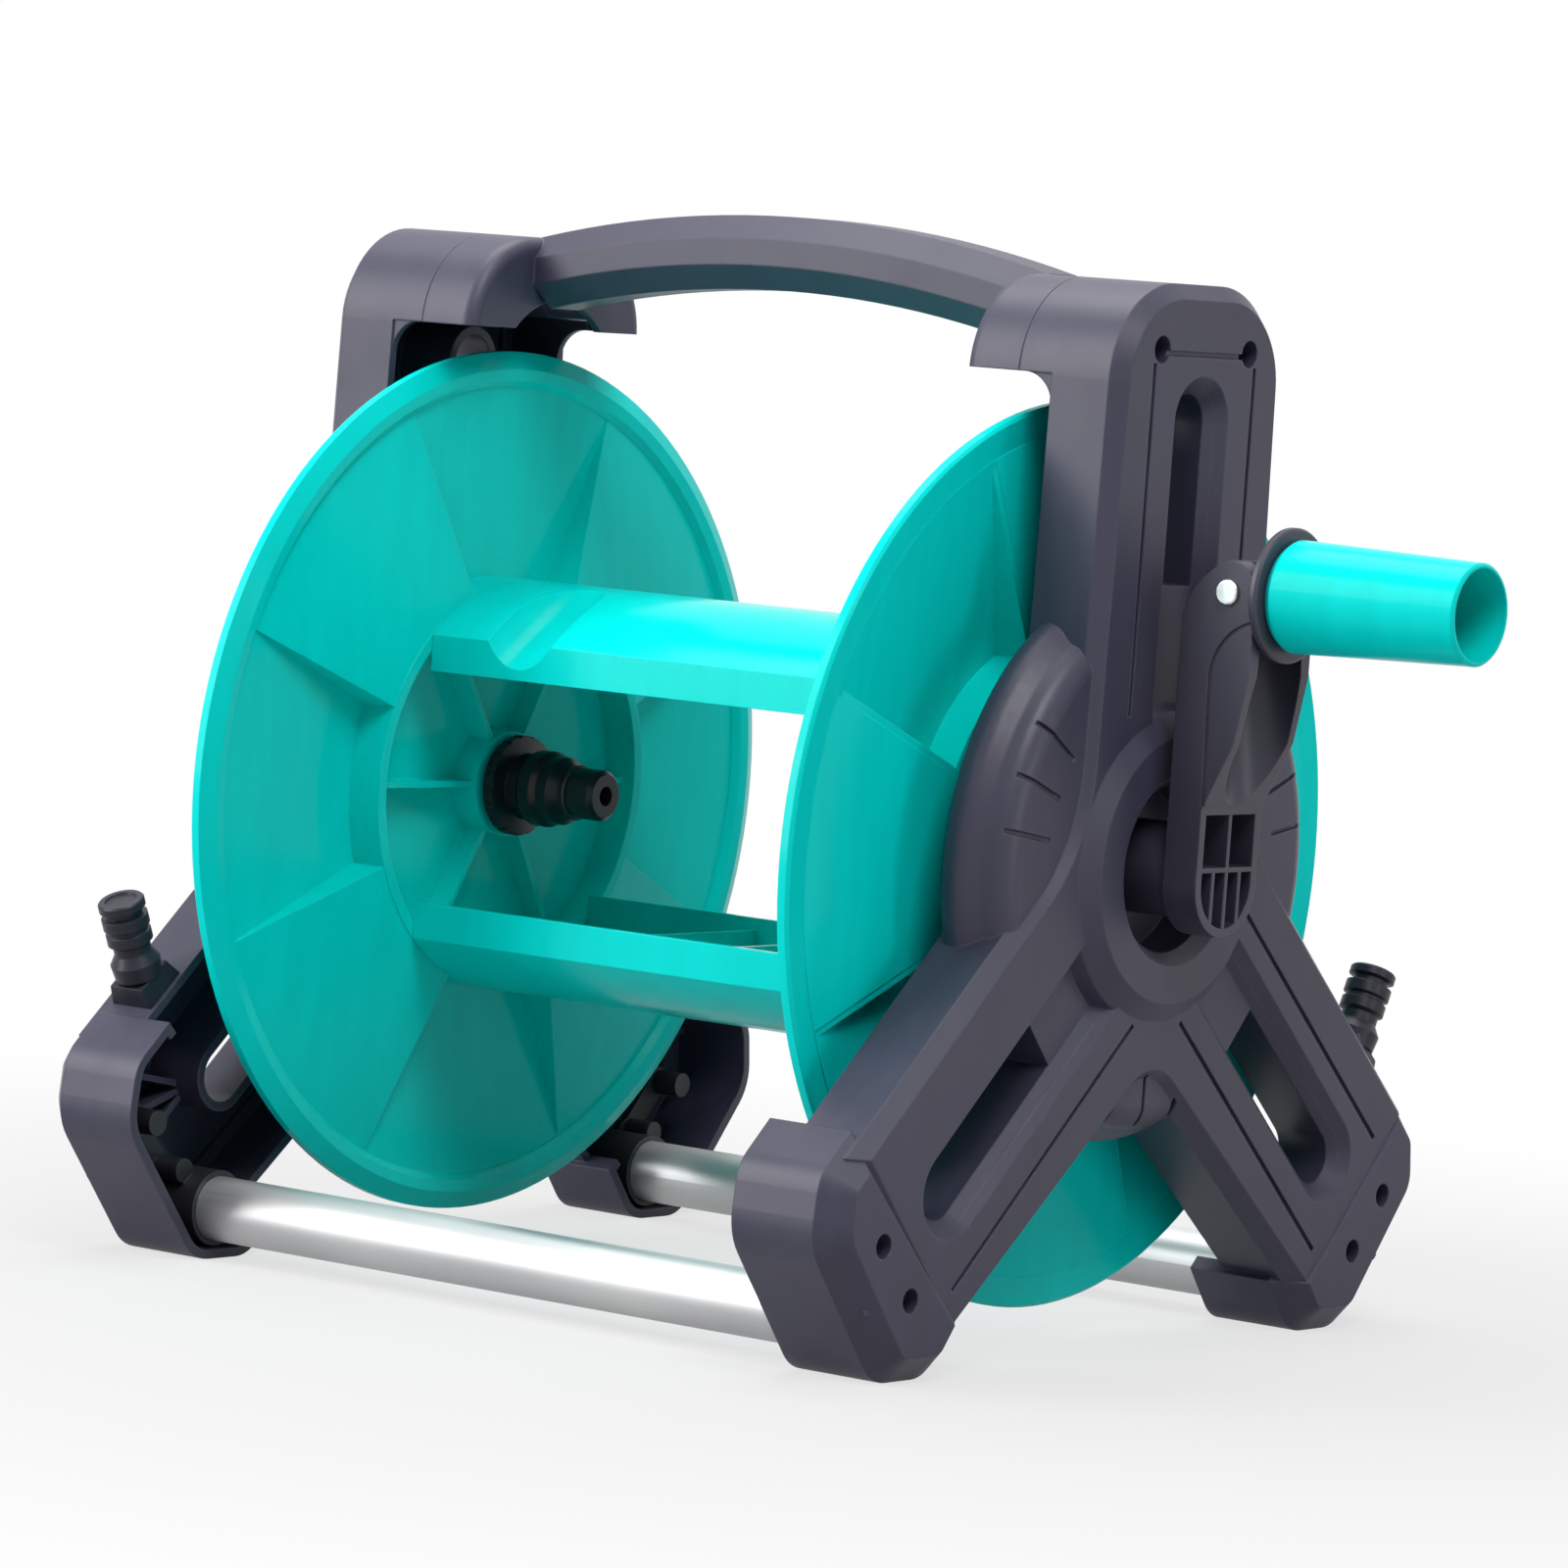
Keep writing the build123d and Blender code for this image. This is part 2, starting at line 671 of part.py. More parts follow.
# Drum bar: arched shell with upright lips, cross ribs and screw bosses
bar_y = bolt_y + 17.8
bar_z = sqrt(drum_r**2 - bar_y**2)
lip_z = drum_r - 31.7
rib_z = lip_z + 4.2
inner = drum_r - drum_wall
inner_y = bar_y - drum_wall
inner_z = sqrt(inner**2 - inner_y**2)
bar_end = drum_half - 0.2
with BuildPart() as upper_bar:
    with BuildSketch(across(-bar_end)):
        with BuildLine():
            ThreePointArc((-bar_y, bar_z), (0, drum_r), (bar_y, bar_z))
            Polyline((bar_y, bar_z), (bar_y, lip_z), (inner_y, lip_z), (inner_y, inner_z))
            ThreePointArc((inner_y, inner_z), (0, inner), (-inner_y, inner_z))
            Polyline((-inner_y, inner_z), (-inner_y, lip_z), (-bar_y, lip_z), (-bar_y, bar_z))
        make_face()
    extrude(amount=2 * bar_end)
    with BuildSketch(across(0)) as rib_shape:
        with BuildLine():
            ThreePointArc((-inner_y - 1, inner_z), (0, inner + 1), (inner_y + 1, inner_z))
            Polyline(
                (inner_y + 1, inner_z), (inner_y + 1, rib_z), (-inner_y - 1, rib_z), (-inner_y - 1, inner_z)
            )
        make_face()
    for u in (-36, 36):
        with BuildSketch(across(u - 1.2)):
            add(rib_shape.sketch_local)
        extrude(amount=2.4)
    with BuildSketch(across(-bar_end)):
        with Locations((bolt_y, bolt_z), (-bolt_y, bolt_z)):
            Circle(4.5)
    extrude(amount=16)
    with BuildSketch(across(bar_end)):
        with Locations((bolt_y, bolt_z), (-bolt_y, bolt_z)):
            Circle(4.5)
    extrude(amount=-16)
    with BuildSketch(across(-bar_end)):
        with Locations((bolt_y, bolt_z), (-bolt_y, bolt_z)):
            Circle(2.0 + running)
    extrude(amount=13, mode=Mode.SUBTRACT)
    with BuildSketch(across(bar_end)):
        with Locations((bolt_y, bolt_z), (-bolt_y, bolt_z)):
            Circle(2.0 + running)
    extrude(amount=-13, mode=Mode.SUBTRACT)

# The lower bar is the upper one turned over
with BuildPart() as lower_bar:
    mirror(upper_bar.part, about=Plane.XY.offset(axis_z))
lower_bar.part.label = "lower_bar"
export_step(lower_bar.part, "parts/lower_bar.step")

# Saddle in the front lip of the upper bar: a trough that leads the hose out of the drum
saddle_u = -72.0
saddle_r = 16.5
saddle_rise = radians(35)
saddle_plane = Plane(
    origin=(mid_x + saddle_u, -bar_y, axis_z + lip_z + 3.7 + saddle_r / cos(saddle_rise)),
    x_dir=(1, 0, 0),
    z_dir=(0, cos(saddle_rise), sin(saddle_rise)),
)
with BuildPart() as saddle:
    with BuildSketch(saddle_plane.offset(-30)):
        Circle(saddle_r + 2.4)
    extrude(amount=100)
    with BuildSketch(across(saddle_u - 40)):
        Circle(inner + 1)
        with Locations((50 - bar_y, lip_z + 50)):
            Rectangle(100, 100, mode=Mode.INTERSECT)
    extrude(amount=80, mode=Mode.INTERSECT)

with BuildPart() as upper_drum_bar:
    add(upper_bar.part)
    add(saddle.part)
    with BuildSketch(saddle_plane.offset(-30)):
        Circle(saddle_r)
    extrude(amount=100, mode=Mode.SUBTRACT)
upper_drum_bar.part.label = "upper_drum_bar"
export_step(upper_drum_bar.part, "parts/upper_drum_bar.step")

# Screws from the flanges into the bars
with BuildPart() as drum_screws:
    with BuildSketch(across(-hub_floor - wall - 2.3)):
        with GridLocations(2 * bolt_y, 2 * bolt_z, 2, 2):
            Circle(3.8)
    extrude(amount=2.2)
    with BuildSketch(across(-hub_floor - wall - 1)):
        with GridLocations(2 * bolt_y, 2 * bolt_z, 2, 2):
            Circle(2.0)
    extrude(amount=hub_floor + wall + 1 - drum_half + 11)
    mirror(about=Plane.YZ.offset(mid_x))
drum_screws.part.label = "drum_screws"
export_step(drum_screws.part, "parts/drum_screws.step")

# Drive shaft: square in the flange and in the crank, round in the bush
with BuildPart() as drive_shaft:
    with BuildSketch(across(boss_end + 0.2)):
        Rectangle(key, key)
    extrude(amount=arm_back - 0.3 - boss_end - 0.2)
    with BuildSketch(across(hub_floor + 5.2)):
        Circle(journal_r)
    extrude(amount=recess_u + 1.0 - hub_floor - 5.2)
    with BuildSketch(across(boss_end - 5)):
        Circle(2.5 + running)
    extrude(amount=90, mode=Mode.SUBTRACT)
drive_shaft.part.label = "drive_shaft"
export_step(drive_shaft.part, "parts/drive_shaft.step")

with BuildPart() as drive_washer:
    with BuildSketch(across(boss_end - 2.2)):
        Circle(14)
        Circle(2.5 + running, mode=Mode.SUBTRACT)
    extrude(amount=2.1)
drive_washer.part.label = "drive_washer"
export_step(drive_washer.part, "parts/drive_washer.step")

with BuildPart() as drive_bolt:
    with BuildSketch(across(boss_end - 6)):
        RegularPolygon(5.2, 6)
    extrude(amount=3.7)
    with BuildSketch(across(boss_end - 4)):
        Circle(2.5)
    extrude(amount=arm_back + 1 - boss_end + 4)
drive_bolt.part.label = "drive_bolt"
export_step(drive_bolt.part, "parts/drive_bolt.step")

# Crank arm: tapered arm with a ribbed pocket, a scooped gusset and a clevis for the grip
pocket_top = 21.0
end_z = -3.0
with BuildPart() as crank_arm:
    with BuildSketch(upright(0)) as side_view:
        with BuildLine():
            l1 = Polyline(
                (arm_rim, pocket_top + 1),
                (arm_rim, end_z - crank_half),
                (arm_back, end_z - crank_half),
                (arm_back, pin_z - 8.5),
            )
            l2 = ThreePointArc(l1 @ 1, (pin_u - 10, pin_z + 4), (pin_u, pin_z + cheek_r))
            l3 = RadiusArc(l2 @ 1, (pin_u + cheek_r, pin_z), cheek_r)
            Polyline(l3 @ 1, (pin_u + cheek_r, pin_z - 26.5), (pin_u + 6.5, 44), (arm_rim, pocket_top + 1))
        make_face()
    extrude(amount=crank_half, both=True)
    # round lower end seen along the axis
    with BuildSketch(across(arm_back - 5)):
        Rectangle(2 * crank_half, 400)
        with Locations((0, end_z - 200)):
            Rectangle(2 * crank_half, 400, mode=Mode.SUBTRACT)
        with Locations((0, end_z)):
            Circle(crank_half)
    extrude(amount=60, mode=Mode.INTERSECT)
    # clevis gap for the lug
    with BuildSketch(upright(0)):
        with Locations((pin_u, pin_z)):
            Circle(cheek_r + 1.5)
            with Locations((15, 7)):
                Rectangle(30, 2 * (cheek_r + 8))
    extrude(amount=lug_half + seat, both=True, mode=Mode.SUBTRACT)
    # scoop under the grip
    with BuildSketch(
        Plane(origin=(mid_x + pin_u + 11.4, 0, axis_z + pocket_top - 2), x_dir=(0, 1, 0), z_dir=(-9, 0, 62))
    ):
        Circle(14.0)
    extrude(amount=64, mode=Mode.SUBTRACT)
    # pocket with lattice ribs
    with BuildSketch(across(arm_rim + 1)):
        with BuildLine():
            pocket_half = crank_half - 3
            p1 = Line((-pocket_half, pocket_top - 1), (-pocket_half, end_z))
            p2 = ThreePointArc(p1 @ 1, (0, end_z - pocket_half), (pocket_half, end_z))
            Polyline(p2 @ 1, (pocket_half, pocket_top - 1), p1 @ 0)
        make_face()
        with Locations((0, pocket_top - 10)):
            Rectangle(1.6, 24, mode=Mode.SUBTRACT)
        with Locations((0, 2)):
            Rectangle(40, 1.6, mode=Mode.SUBTRACT)
        with Locations((-7.5, -9), (0, -9), (7.5, -9)):
            Rectangle(1.6, 22, mode=Mode.SUBTRACT)
    extrude(amount=-(arm_rim + 1 - arm_back - wall), mode=Mode.SUBTRACT)
    # seam of the clevis cheek on both sides
    for side in (-1, 1):
        with BuildSketch(upright(side * (crank_half + 1))):
            with BuildLine():
                seam = ThreePointArc(
                    (pin_u + 9.5, pin_z - 9.5), (pin_u - 0.4, pin_z - 16), (pin_u - 4.7, pin_z - 27.5)
                )
                Line(seam @ 1, (pin_u - 3.8, pocket_top + 2))
            trace(line_width=1.1)
        extrude(amount=side * 1.7, mode=Mode.SUBTRACT)
    # hub that reaches through the recess to the bush
    with BuildSketch(across(recess_u + 1.1)):
        Circle(15.5)
    extrude(amount=arm_back + 1 - recess_u - 1.1)
    with BuildSketch(across(recess_u)):
        Rectangle(key + 0.1, key + 0.1)
    extrude(amount=arm_back - recess_u, mode=Mode.SUBTRACT)
    with BuildSketch(across(recess_u)):
        Circle(2.5 + running)
    extrude(amount=arm_back + 1.5 - recess_u, mode=Mode.SUBTRACT)
    with BuildSketch(upright(0)):
        with Locations((pin_u, pin_z)):
            Circle(pin_r + running)
    extrude(amount=60, both=True, mode=Mode.SUBTRACT)
crank_arm.part.label = "crank_arm"
export_step(crank_arm.part, "parts/crank_arm.step")

with BuildPart() as hinge_pin:
    with BuildSketch(upright(crank_half + 0.1)):
        with Locations((pin_u, pin_z)):
            Circle(pin_r)
    extrude(amount=2 * crank_half + 0.2)
    with BuildSketch(upright(-crank_half - 0.05)):
        with Locations((pin_u, pin_z)):
            Circle(4.3)
    extrude(amount=1.4)
    with BuildSketch(upright(crank_half + 0.05)):
        with Locations((pin_u, pin_z)):
            Circle(4.3)
    extrude(amount=-1.4)
    fillet(hinge_pin.faces().filter_by(Axis.Y).group_by(Axis.Y)[0].edges(), 0.8)
    fillet(hinge_pin.faces().filter_by(Axis.Y).group_by(Axis.Y)[-1].edges(), 0.8)
hinge_pin.part.label = "hinge_pin"
export_step(hinge_pin.part, "parts/hinge_pin.step")

# Grip holder: lug on the pin, round disc behind the grip, spindle inside the grip
grip_axis = Axis((mid_x, 0, axis_z + pin_z), (1, 0, 0))
grip_plane = Plane(origin=(mid_x, 0, axis_z + pin_z), x_dir=(0, 1, 0), z_dir=(0, 0, -1))
plug_end = grip_start + 26
with BuildPart() as grip_holder:
    with BuildSketch(grip_plane):
        with BuildLine():
            Polyline(
                (0, disc_back),
                (21.5, disc_back),
                (22, disc_back + 0.5),
                (22, disc_back + 2.2),
                (21.2, disc_back + 3),
                (spindle_r, disc_back + 3),
                (spindle_r, plug_end + 4),
                (spindle_r - 1, plug_end + 5),
                (0, plug_end + 5),
                close=True,
            )
        make_face()
    revolve(axis=grip_axis)
    with BuildSketch(upright(0)):
        with Locations((pin_u, pin_z)):
            Circle(cheek_r)
        with Locations((pin_u + 6, pin_z)):
            Rectangle(12, 2 * cheek_r)
    extrude(amount=lug_half, both=True)
    with BuildSketch(upright(0)):
        with Locations((pin_u, pin_z)):
            Circle(pin_r + running)
    extrude(amount=20, both=True, mode=Mode.SUBTRACT)
    with BuildSketch(grip_plane):
        with Locations((spindle_r, plug_end + 1.5)):
            Rectangle(2, 1.6)
    revolve(axis=grip_axis, mode=Mode.SUBTRACT)
grip_holder.part.label = "grip_holder"
export_step(grip_holder.part, "parts/grip_holder.step")

with BuildPart() as grip_clip:
    with BuildSketch(grip_plane):
        with Locations((spindle_r + 1.5, plug_end + 1.5)):
            Rectangle(5 - 2 * 0.06, 1.4)
    revolve(axis=grip_axis)
grip_clip.part.label = "grip_clip"
export_step(grip_clip.part, "parts/grip_clip.step")

# Grip: tapered tube with a bush at its root, open at the outer end
with BuildPart() as crank_grip:
    with BuildSketch(grip_plane):
        with BuildLine():
            Polyline(
                (spindle_r + running, grip_start),
                (17.0, grip_start),
                (18.4, grip_start + 2.2),
                (16.6, grip_end - 0.8),
                (15.8, grip_end),
                (15.0, grip_end),
                (15.6, plug_end + 0.4),
                (spindle_r + running, plug_end + 0.4),
                close=True,
            )
        make_face()
    revolve(axis=grip_axis)
crank_grip.part.label = "crank_grip"
export_step(crank_grip.part, "parts/crank_grip.step")

# Water spindle: hollow, square in the flange, round in the bush and the elbow
elbow_in = -recess_u - 3.8
spindle_end = -ring_u - 4.5
seal_u = (elbow_in - 7.2, elbow_in - 13.2)
with BuildPart() as water_spindle:
    with BuildSketch(across(-boss_end - 0.2)):
        Rectangle(key, key)
    extrude(amount=-(hub_floor + 5.2 - boss_end - 0.2))
    with BuildSketch(across(-hub_floor - 5.2)):
        Circle(journal_r)
    extrude(amount=spindle_end + hub_floor + 5.2)
    with BuildSketch(across(-boss_end - 2)):
        Circle(6.5)
    extrude(amount=14)
    with BuildSketch(radial(0)):
        for u in seal_u:
            with Locations((journal_r, u)):
                Rectangle(3.6, 2.4)
        with Locations((journal_r, -recess_u - 2.0)):
            Rectangle(2, 1.6)
    revolve(axis=reel_axis, mode=Mode.SUBTRACT)
    with BuildSketch(across(-boss_end + 22)):
        Circle(4)
    extrude(amount=spindle_end - 14 + boss_end - 22, mode=Mode.SUBTRACT)
water_spindle.part.label = "water_spindle"
export_step(water_spindle.part, "parts/water_spindle.step")

with BuildPart() as spindle_clip:
    with BuildSketch(radial(0)):
        with Locations((journal_r + 1.5, -recess_u - 2.0)):
            Rectangle(5 - 2 * 0.06, 1.4)
    revolve(axis=reel_axis)
spindle_clip.part.label = "spindle_clip"
export_step(spindle_clip.part, "parts/spindle_clip.step")

with BuildPart() as spindle_seals:
    with BuildSketch(radial(0)):
        for u in seal_u:
            with Locations((10.13, u)):
                Circle(0.86)
    revolve(axis=reel_axis)
spindle_seals.part.label = "spindle_seals"
export_step(spindle_seals.part, "parts/spindle_seals.step")

# Hose nipple on the axis inside the drum: serrated collar, stepped body, round nose
nose_r = 8.85
nose_out = -boss_end + 43.0
with BuildPart() as hose_nipple:
    with BuildSketch(radial(0)):
        with BuildLine():
            Polyline(
                (6.5 + running, -boss_end + 0.2),
                (14.5, -boss_end + 0.2),
                (17.4, -boss_end + 2.5),
                (17.4, -boss_end + 6),
                (11.5, -boss_end + 7.5),
                (11.5, -boss_end + 12),
                (13.2, -boss_end + 14),
                (13.2, -boss_end + 19),
                (11.8, -boss_end + 21),
                (11.8, -boss_end + 25.5),
                (nose_r + 0.95, nose_out - 15.5),
                (nose_r, nose_out - 14.6),
                (nose_r, nose_out - 1.4),
                (nose_r - 1.4, nose_out),
                (3.4, nose_out),
                (3.4, -boss_end + 12.5),
                (6.5 + running, -boss_end + 12.5),
                close=True,
            )
        make_face()
    revolve(axis=reel_axis)
    with BuildSketch(across(-boss_end)):
        with PolarLocations(17.8, 18):
            Circle(1.0)
    extrude(amount=7.5, mode=Mode.SUBTRACT)
    with BuildSketch(radial(0)):
        with Locations((nose_r, nose_out - 12)):
            Rectangle(2.4, 2.6)
    revolve(axis=reel_axis, mode=Mode.SUBTRACT)
hose_nipple.part.label = "hose_nipple"
export_step(hose_nipple.part, "parts/hose_nipple.step")

with BuildPart() as hose_nipple_seal:
    with BuildSketch(radial(0)):
        with Locations((nose_r - 0.15, nose_out - 12)):
            Circle(0.95)
    revolve(axis=reel_axis)
hose_nipple_seal.part.label = "hose_nipple_seal"
export_step(hose_nipple_seal.part, "parts/hose_nipple_seal.step")

# Inlet elbow on the outer side of the left frame, turning on the spindle
elbow_u = -ring_u - 12.9
elbow_drop = -30.0
drop_plane = Plane(origin=(mid_x + elbow_u, 0, axis_z), x_dir=(1, 0, 0), z_dir=(0, 0, -1))
drop_axis = Axis((mid_x + elbow_u, 0, axis_z), (0, 0, 1))
drop_side = Plane(origin=(mid_x + elbow_u, 0, axis_z), x_dir=(1, 0, 0), z_dir=(0, -1, 0))
with BuildPart() as inlet_elbow:
    with BuildSketch(radial(0)):
        with BuildLine():
            Polyline((0, elbow_in), (15.6, elbow_in), (16.6, elbow_in - 1), (16.6, elbow_u))
            ThreePointArc((16.6, elbow_u), (12.6, elbow_u - 8), (6, elbow_u - 10.3))
            Polyline((6, elbow_u - 10.3), (0, elbow_u - 10.3), (0, elbow_in))
        make_face()
    revolve(axis=reel_axis)
    with BuildSketch(drop_side):
        with BuildLine():
            Polyline((0, 0), (9.7, 0), (9.7, elbow_drop + 6), (11.0, elbow_drop + 5))
            Polyline((11.0, elbow_drop + 5), (11.0, elbow_drop), (0, elbow_drop), (0, 0))
        make_face()
    revolve(axis=drop_axis)
    with BuildSketch(across(elbow_in + 1)):
        Circle(journal_r + running)
    extrude(amount=spindle_end - 0.3 - elbow_in - 1, mode=Mode.SUBTRACT)
    with BuildSketch(across(elbow_in)):
        Circle(4.6)
    extrude(amount=elbow_u - 5.5 - elbow_in, mode=Mode.SUBTRACT)
    with BuildSketch(drop_plane):
        Circle(4.2)
    extrude(amount=40, mode=Mode.SUBTRACT)
    with BuildSketch(drop_plane.offset(-elbow_drop - 11)):
        Circle(6.5 + running)
    extrude(amount=20, mode=Mode.SUBTRACT)
inlet_elbow.part.label = "inlet_elbow"
export_step(inlet_elbow.part, "parts/inlet_elbow.step")

# Inlet nipple screwed into the elbow
inlet_r = 8.2
tip_z = elbow_drop - 31
with BuildPart() as inlet_nipple:
    with BuildSketch(drop_side):
        with BuildLine():
            Polyline(
                (4, elbow_drop + 10.5),
                (6.5, elbow_drop + 10.5),
                (6.5, elbow_drop - 0.2),
                (12.0, elbow_drop - 0.2),
                (12.0, elbow_drop - 5),
                (7.0, elbow_drop - 6.5),
                (7.0, elbow_drop - 11),
                (inlet_r, elbow_drop - 12.5),
                (inlet_r, tip_z + 1.2),
                (inlet_r - 1.2, tip_z),
                (4, tip_z),
                close=True,
            )
        make_face()
    revolve(axis=drop_axis)
    with BuildSketch(drop_side):
        with Locations((inlet_r, elbow_drop - 16)):
            Rectangle(2.4, 2.6)
    revolve(axis=drop_axis, mode=Mode.SUBTRACT)
    with BuildSketch(drop_plane.offset(-elbow_drop)):
        Circle(13)
        RegularPolygon(11.9, 6, mode=Mode.SUBTRACT)
    extrude(amount=6, mode=Mode.SUBTRACT)
inlet_nipple.part.label = "inlet_nipple"
export_step(inlet_nipple.part, "parts/inlet_nipple.step")

with BuildPart() as inlet_nipple_seal:
    with BuildSketch(drop_side):
        with Locations((inlet_r - 0.15, elbow_drop - 16)):
            Circle(0.95)
    revolve(axis=drop_axis)
inlet_nipple_seal.part.label = "inlet_nipple_seal"
export_step(inlet_nipple_seal.part, "parts/inlet_nipple_seal.step")

# Parking peg on the leg edge: stud in the wall, foot block and a closed nipple leaning outwards
lean = (0, 0.41, 0.912)
root_y, root_z = leg_point(leg_end - 23.8, leg_out + 3)
peg_plane = Plane(
    origin=(mid_x + peg_u, root_y, axis_z + root_z), x_dir=(1, 0, 0), z_dir=(0, -lean[2], lean[1])
)
peg_axis = Axis((mid_x + peg_u, root_y, axis_z + root_z), lean)
with BuildPart() as right_parking_peg:
    with BuildSketch(wall_plane.offset(0.05)):
        Rectangle(17, 18)
    extrude(amount=7, taper=12)
    with BuildSketch(wall_plane.offset(1)):
        Circle(3.9)
    extrude(amount=-7)
    with BuildSketch(peg_plane):
        with BuildLine():
            Polyline(
                (0, 2),
                (8.0, 3.5),
                (8.6, 9),
                (6.4, 12.5),
                (6.4, 15.5),
                (7.8, 16.5),
                (7.8, 20),
                (6.9, 20.6),
                (6.9, 21.6),
                (8.0, 22.2),
                (8.0, 26),
                (6.2, 26.6),
                (6.2, 28.2),
                (8.0, 28.8),
                (8.0, 31.2),
                (7.4, 31.8),
                (5.6, 31.8),
                (5.2, 31),
                (0, 31),
                close=True,
            )
        make_face()
    revolve(axis=peg_axis)
    with BuildSketch(wall_plane.offset(0.05)):
        Rectangle(80, 80)
        Circle(3.9, mode=Mode.SUBTRACT)
    extrude(amount=-20, mode=Mode.SUBTRACT)
right_parking_peg.part.label = "right_parking_peg"
export_step(right_parking_peg.part, "parts/right_parking_peg.step")

with BuildPart() as left_parking_peg:
    with Locations((2 * mid_x, 0, 0)):
        add(right_parking_peg.part, rotation=(0, 0, 180))
left_parking_peg.part.label = "left_parking_peg"
export_step(left_parking_peg.part, "parts/left_parking_peg.step")
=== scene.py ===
import math

import bpy
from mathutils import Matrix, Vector

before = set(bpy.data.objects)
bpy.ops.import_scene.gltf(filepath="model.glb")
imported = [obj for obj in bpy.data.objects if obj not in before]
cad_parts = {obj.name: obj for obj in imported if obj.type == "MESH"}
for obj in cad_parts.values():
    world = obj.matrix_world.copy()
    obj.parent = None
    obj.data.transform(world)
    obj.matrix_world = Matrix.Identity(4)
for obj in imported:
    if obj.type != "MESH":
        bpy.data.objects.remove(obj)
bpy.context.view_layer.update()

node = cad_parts


# Side frames: two hollow mouldings of dark violet-grey polypropylene, each a column on two
# splayed legs with boots. They come from the same mould, with a fine spark-eroded grain.
class Wire:
    """A socket of a material; sums, differences and products of wires add Math nodes."""

    def __init__(self, socket):
        self.socket = socket

    def node(self, kind, settings, inputs, output=0):
        """A new node in the same tree: its settings first, then the values or links of its sockets."""
        tree = self.socket.id_data
        made = tree.nodes.new("ShaderNode" + kind)
        for name, value in settings.items():
            setattr(made, name, value)
        for name, value in inputs.items():
            if isinstance(value, Wire):
                tree.links.new(value.socket, made.inputs[name])
            else:
                made.inputs[name].default_value = value
        return Wire(made.outputs[output])

    def __add__(self, other):
        return self.node("Math", {"operation": "ADD"}, {0: self, 1: other})

    def __sub__(self, other):
        return self.node("Math", {"operation": "SUBTRACT"}, {0: self, 1: other})

    def __rsub__(self, other):
        return self.node("Math", {"operation": "SUBTRACT"}, {0: other, 1: self})

    def __mul__(self, other):
        return self.node("Math", {"operation": "MULTIPLY"}, {0: self, 1: other})

    __radd__ = __add__
    __rmul__ = __mul__

    def noise(self, scale, detail=2.0, roughness=0.5):
        """Soft noise over this place, with about scale lumps to the unit."""
        sockets = {"Vector": self, "Scale": scale, "Detail": detail, "Roughness": roughness}
        return self.node("TexNoise", {}, sockets)

    def stretched(self, scale):
        """This place with each axis multiplied by its own number."""
        return self.node("Mapping", {}, {"Vector": self, "Scale": scale})

    def band(self, low, high):
        """0 below low, 1 above high and a smooth rise between them."""
        sockets = {"Value": self, "From Min": low, "From Max": high}
        return self.node("MapRange", {"interpolation_type": "SMOOTHSTEP"}, sockets)

    def blend(self, first, second):
        """The first colour where this wire is 0, the second where it is 1."""
        return self.node("Mix", {"data_type": "RGBA"}, {0: self, 6: first, 7: second}, output=2)

    def bump(self, strength, distance, **base):
        """Normal with this wire as height; base may give the Normal to start from."""
        return self.node("Bump", {}, {"Strength": strength, "Distance": distance, "Height": self, **base})


def new_material(name, **constants):
    """A material with its shader's constant sockets set, and a wire of the rest position in metres."""
    made = bpy.data.materials.new(name)
    made.use_nodes = True
    shader = made.node_tree.nodes["Principled BSDF"]
    for socket, value in constants.items():
        shader.inputs[socket.replace("_", " ")].default_value = value
    place = made.node_tree.nodes.new("ShaderNodeTexCoord")
    return made, shader, Wire(place.outputs["Object"])


def feed(shader, **wires):
    """Links each wire to the shader's socket of that name."""
    for socket, wire in wires.items():
        shader.id_data.links.new(wire.socket, shader.inputs[socket.replace("_", " ")])


def soft_edges(place, radius):
    """Normal of the surface with its sharp mould edges rounded off."""
    return place.node("Bevel", {"samples": 4}, {"Radius": radius})


def edge_wear_and_highlight(place, radius):
    """1 on convex and concave mould edges, 0 on the open faces: the mask of edge wear and painted edge
    highlights.
    """
    rounded = soft_edges(place, radius)
    flat = place.node("NewGeometry", {}, {}, output="Normal")
    alike = place.node("VectorMath", {"operation": "DOT_PRODUCT"}, {0: rounded, 1: flat}, output="Value")
    return (1 - alike).band(0.02, 0.3)


def moulded(name, shade, pale, grain, depth, rough, edge, **constants):
    """Moulded plastic: a cloudy tone, paler edges that are partly wear and partly painted highlight,
    spark-eroded grain and faint handling marks.
    """
    made, shader, place = new_material(name, **constants)
    cloud = place.noise(9.0, 4.0)
    streak = place.stretched((40.0, 40.0, 6.0)).noise(3.0, 3.0)
    tone = (cloud * 0.6 + streak * 0.4).band(0.3, 0.75)
    # Paler edges: partly edge wear, partly a painted highlight where the edges catch the light.
    wear_and_highlight = edge_wear_and_highlight(place, edge * 2.2) * place.noise(60.0, 3.0).band(0.35, 0.65)
    wear_and_highlight_colour = [min(0.9, 1.9 * part + 0.02) for part in pale]
    open_face = tone.blend((*shade, 1), (*pale, 1))
    feed(shader, Base_Color=(wear_and_highlight * 0.45).blend(open_face, (*wear_and_highlight_colour, 1)))
    scuff = place.noise(25.0, 5.0, 0.65).band(0.5, 0.8)
    feed(shader, Roughness=tone * 0.06 + scuff * 0.07 + rough)
    skin = place.noise(grain, 2.0) * 0.75 + place.noise(grain * 0.37, 2.0) * 0.25
    feed(shader, Normal=skin.bump(depth, 0.0002, Normal=soft_edges(place, edge)))
    return made


def wear(material, *names):
    """Gives the named pieces this material alone."""
    for name in names:
        node[name].data.materials.clear()
        node[name].data.materials.append(material)


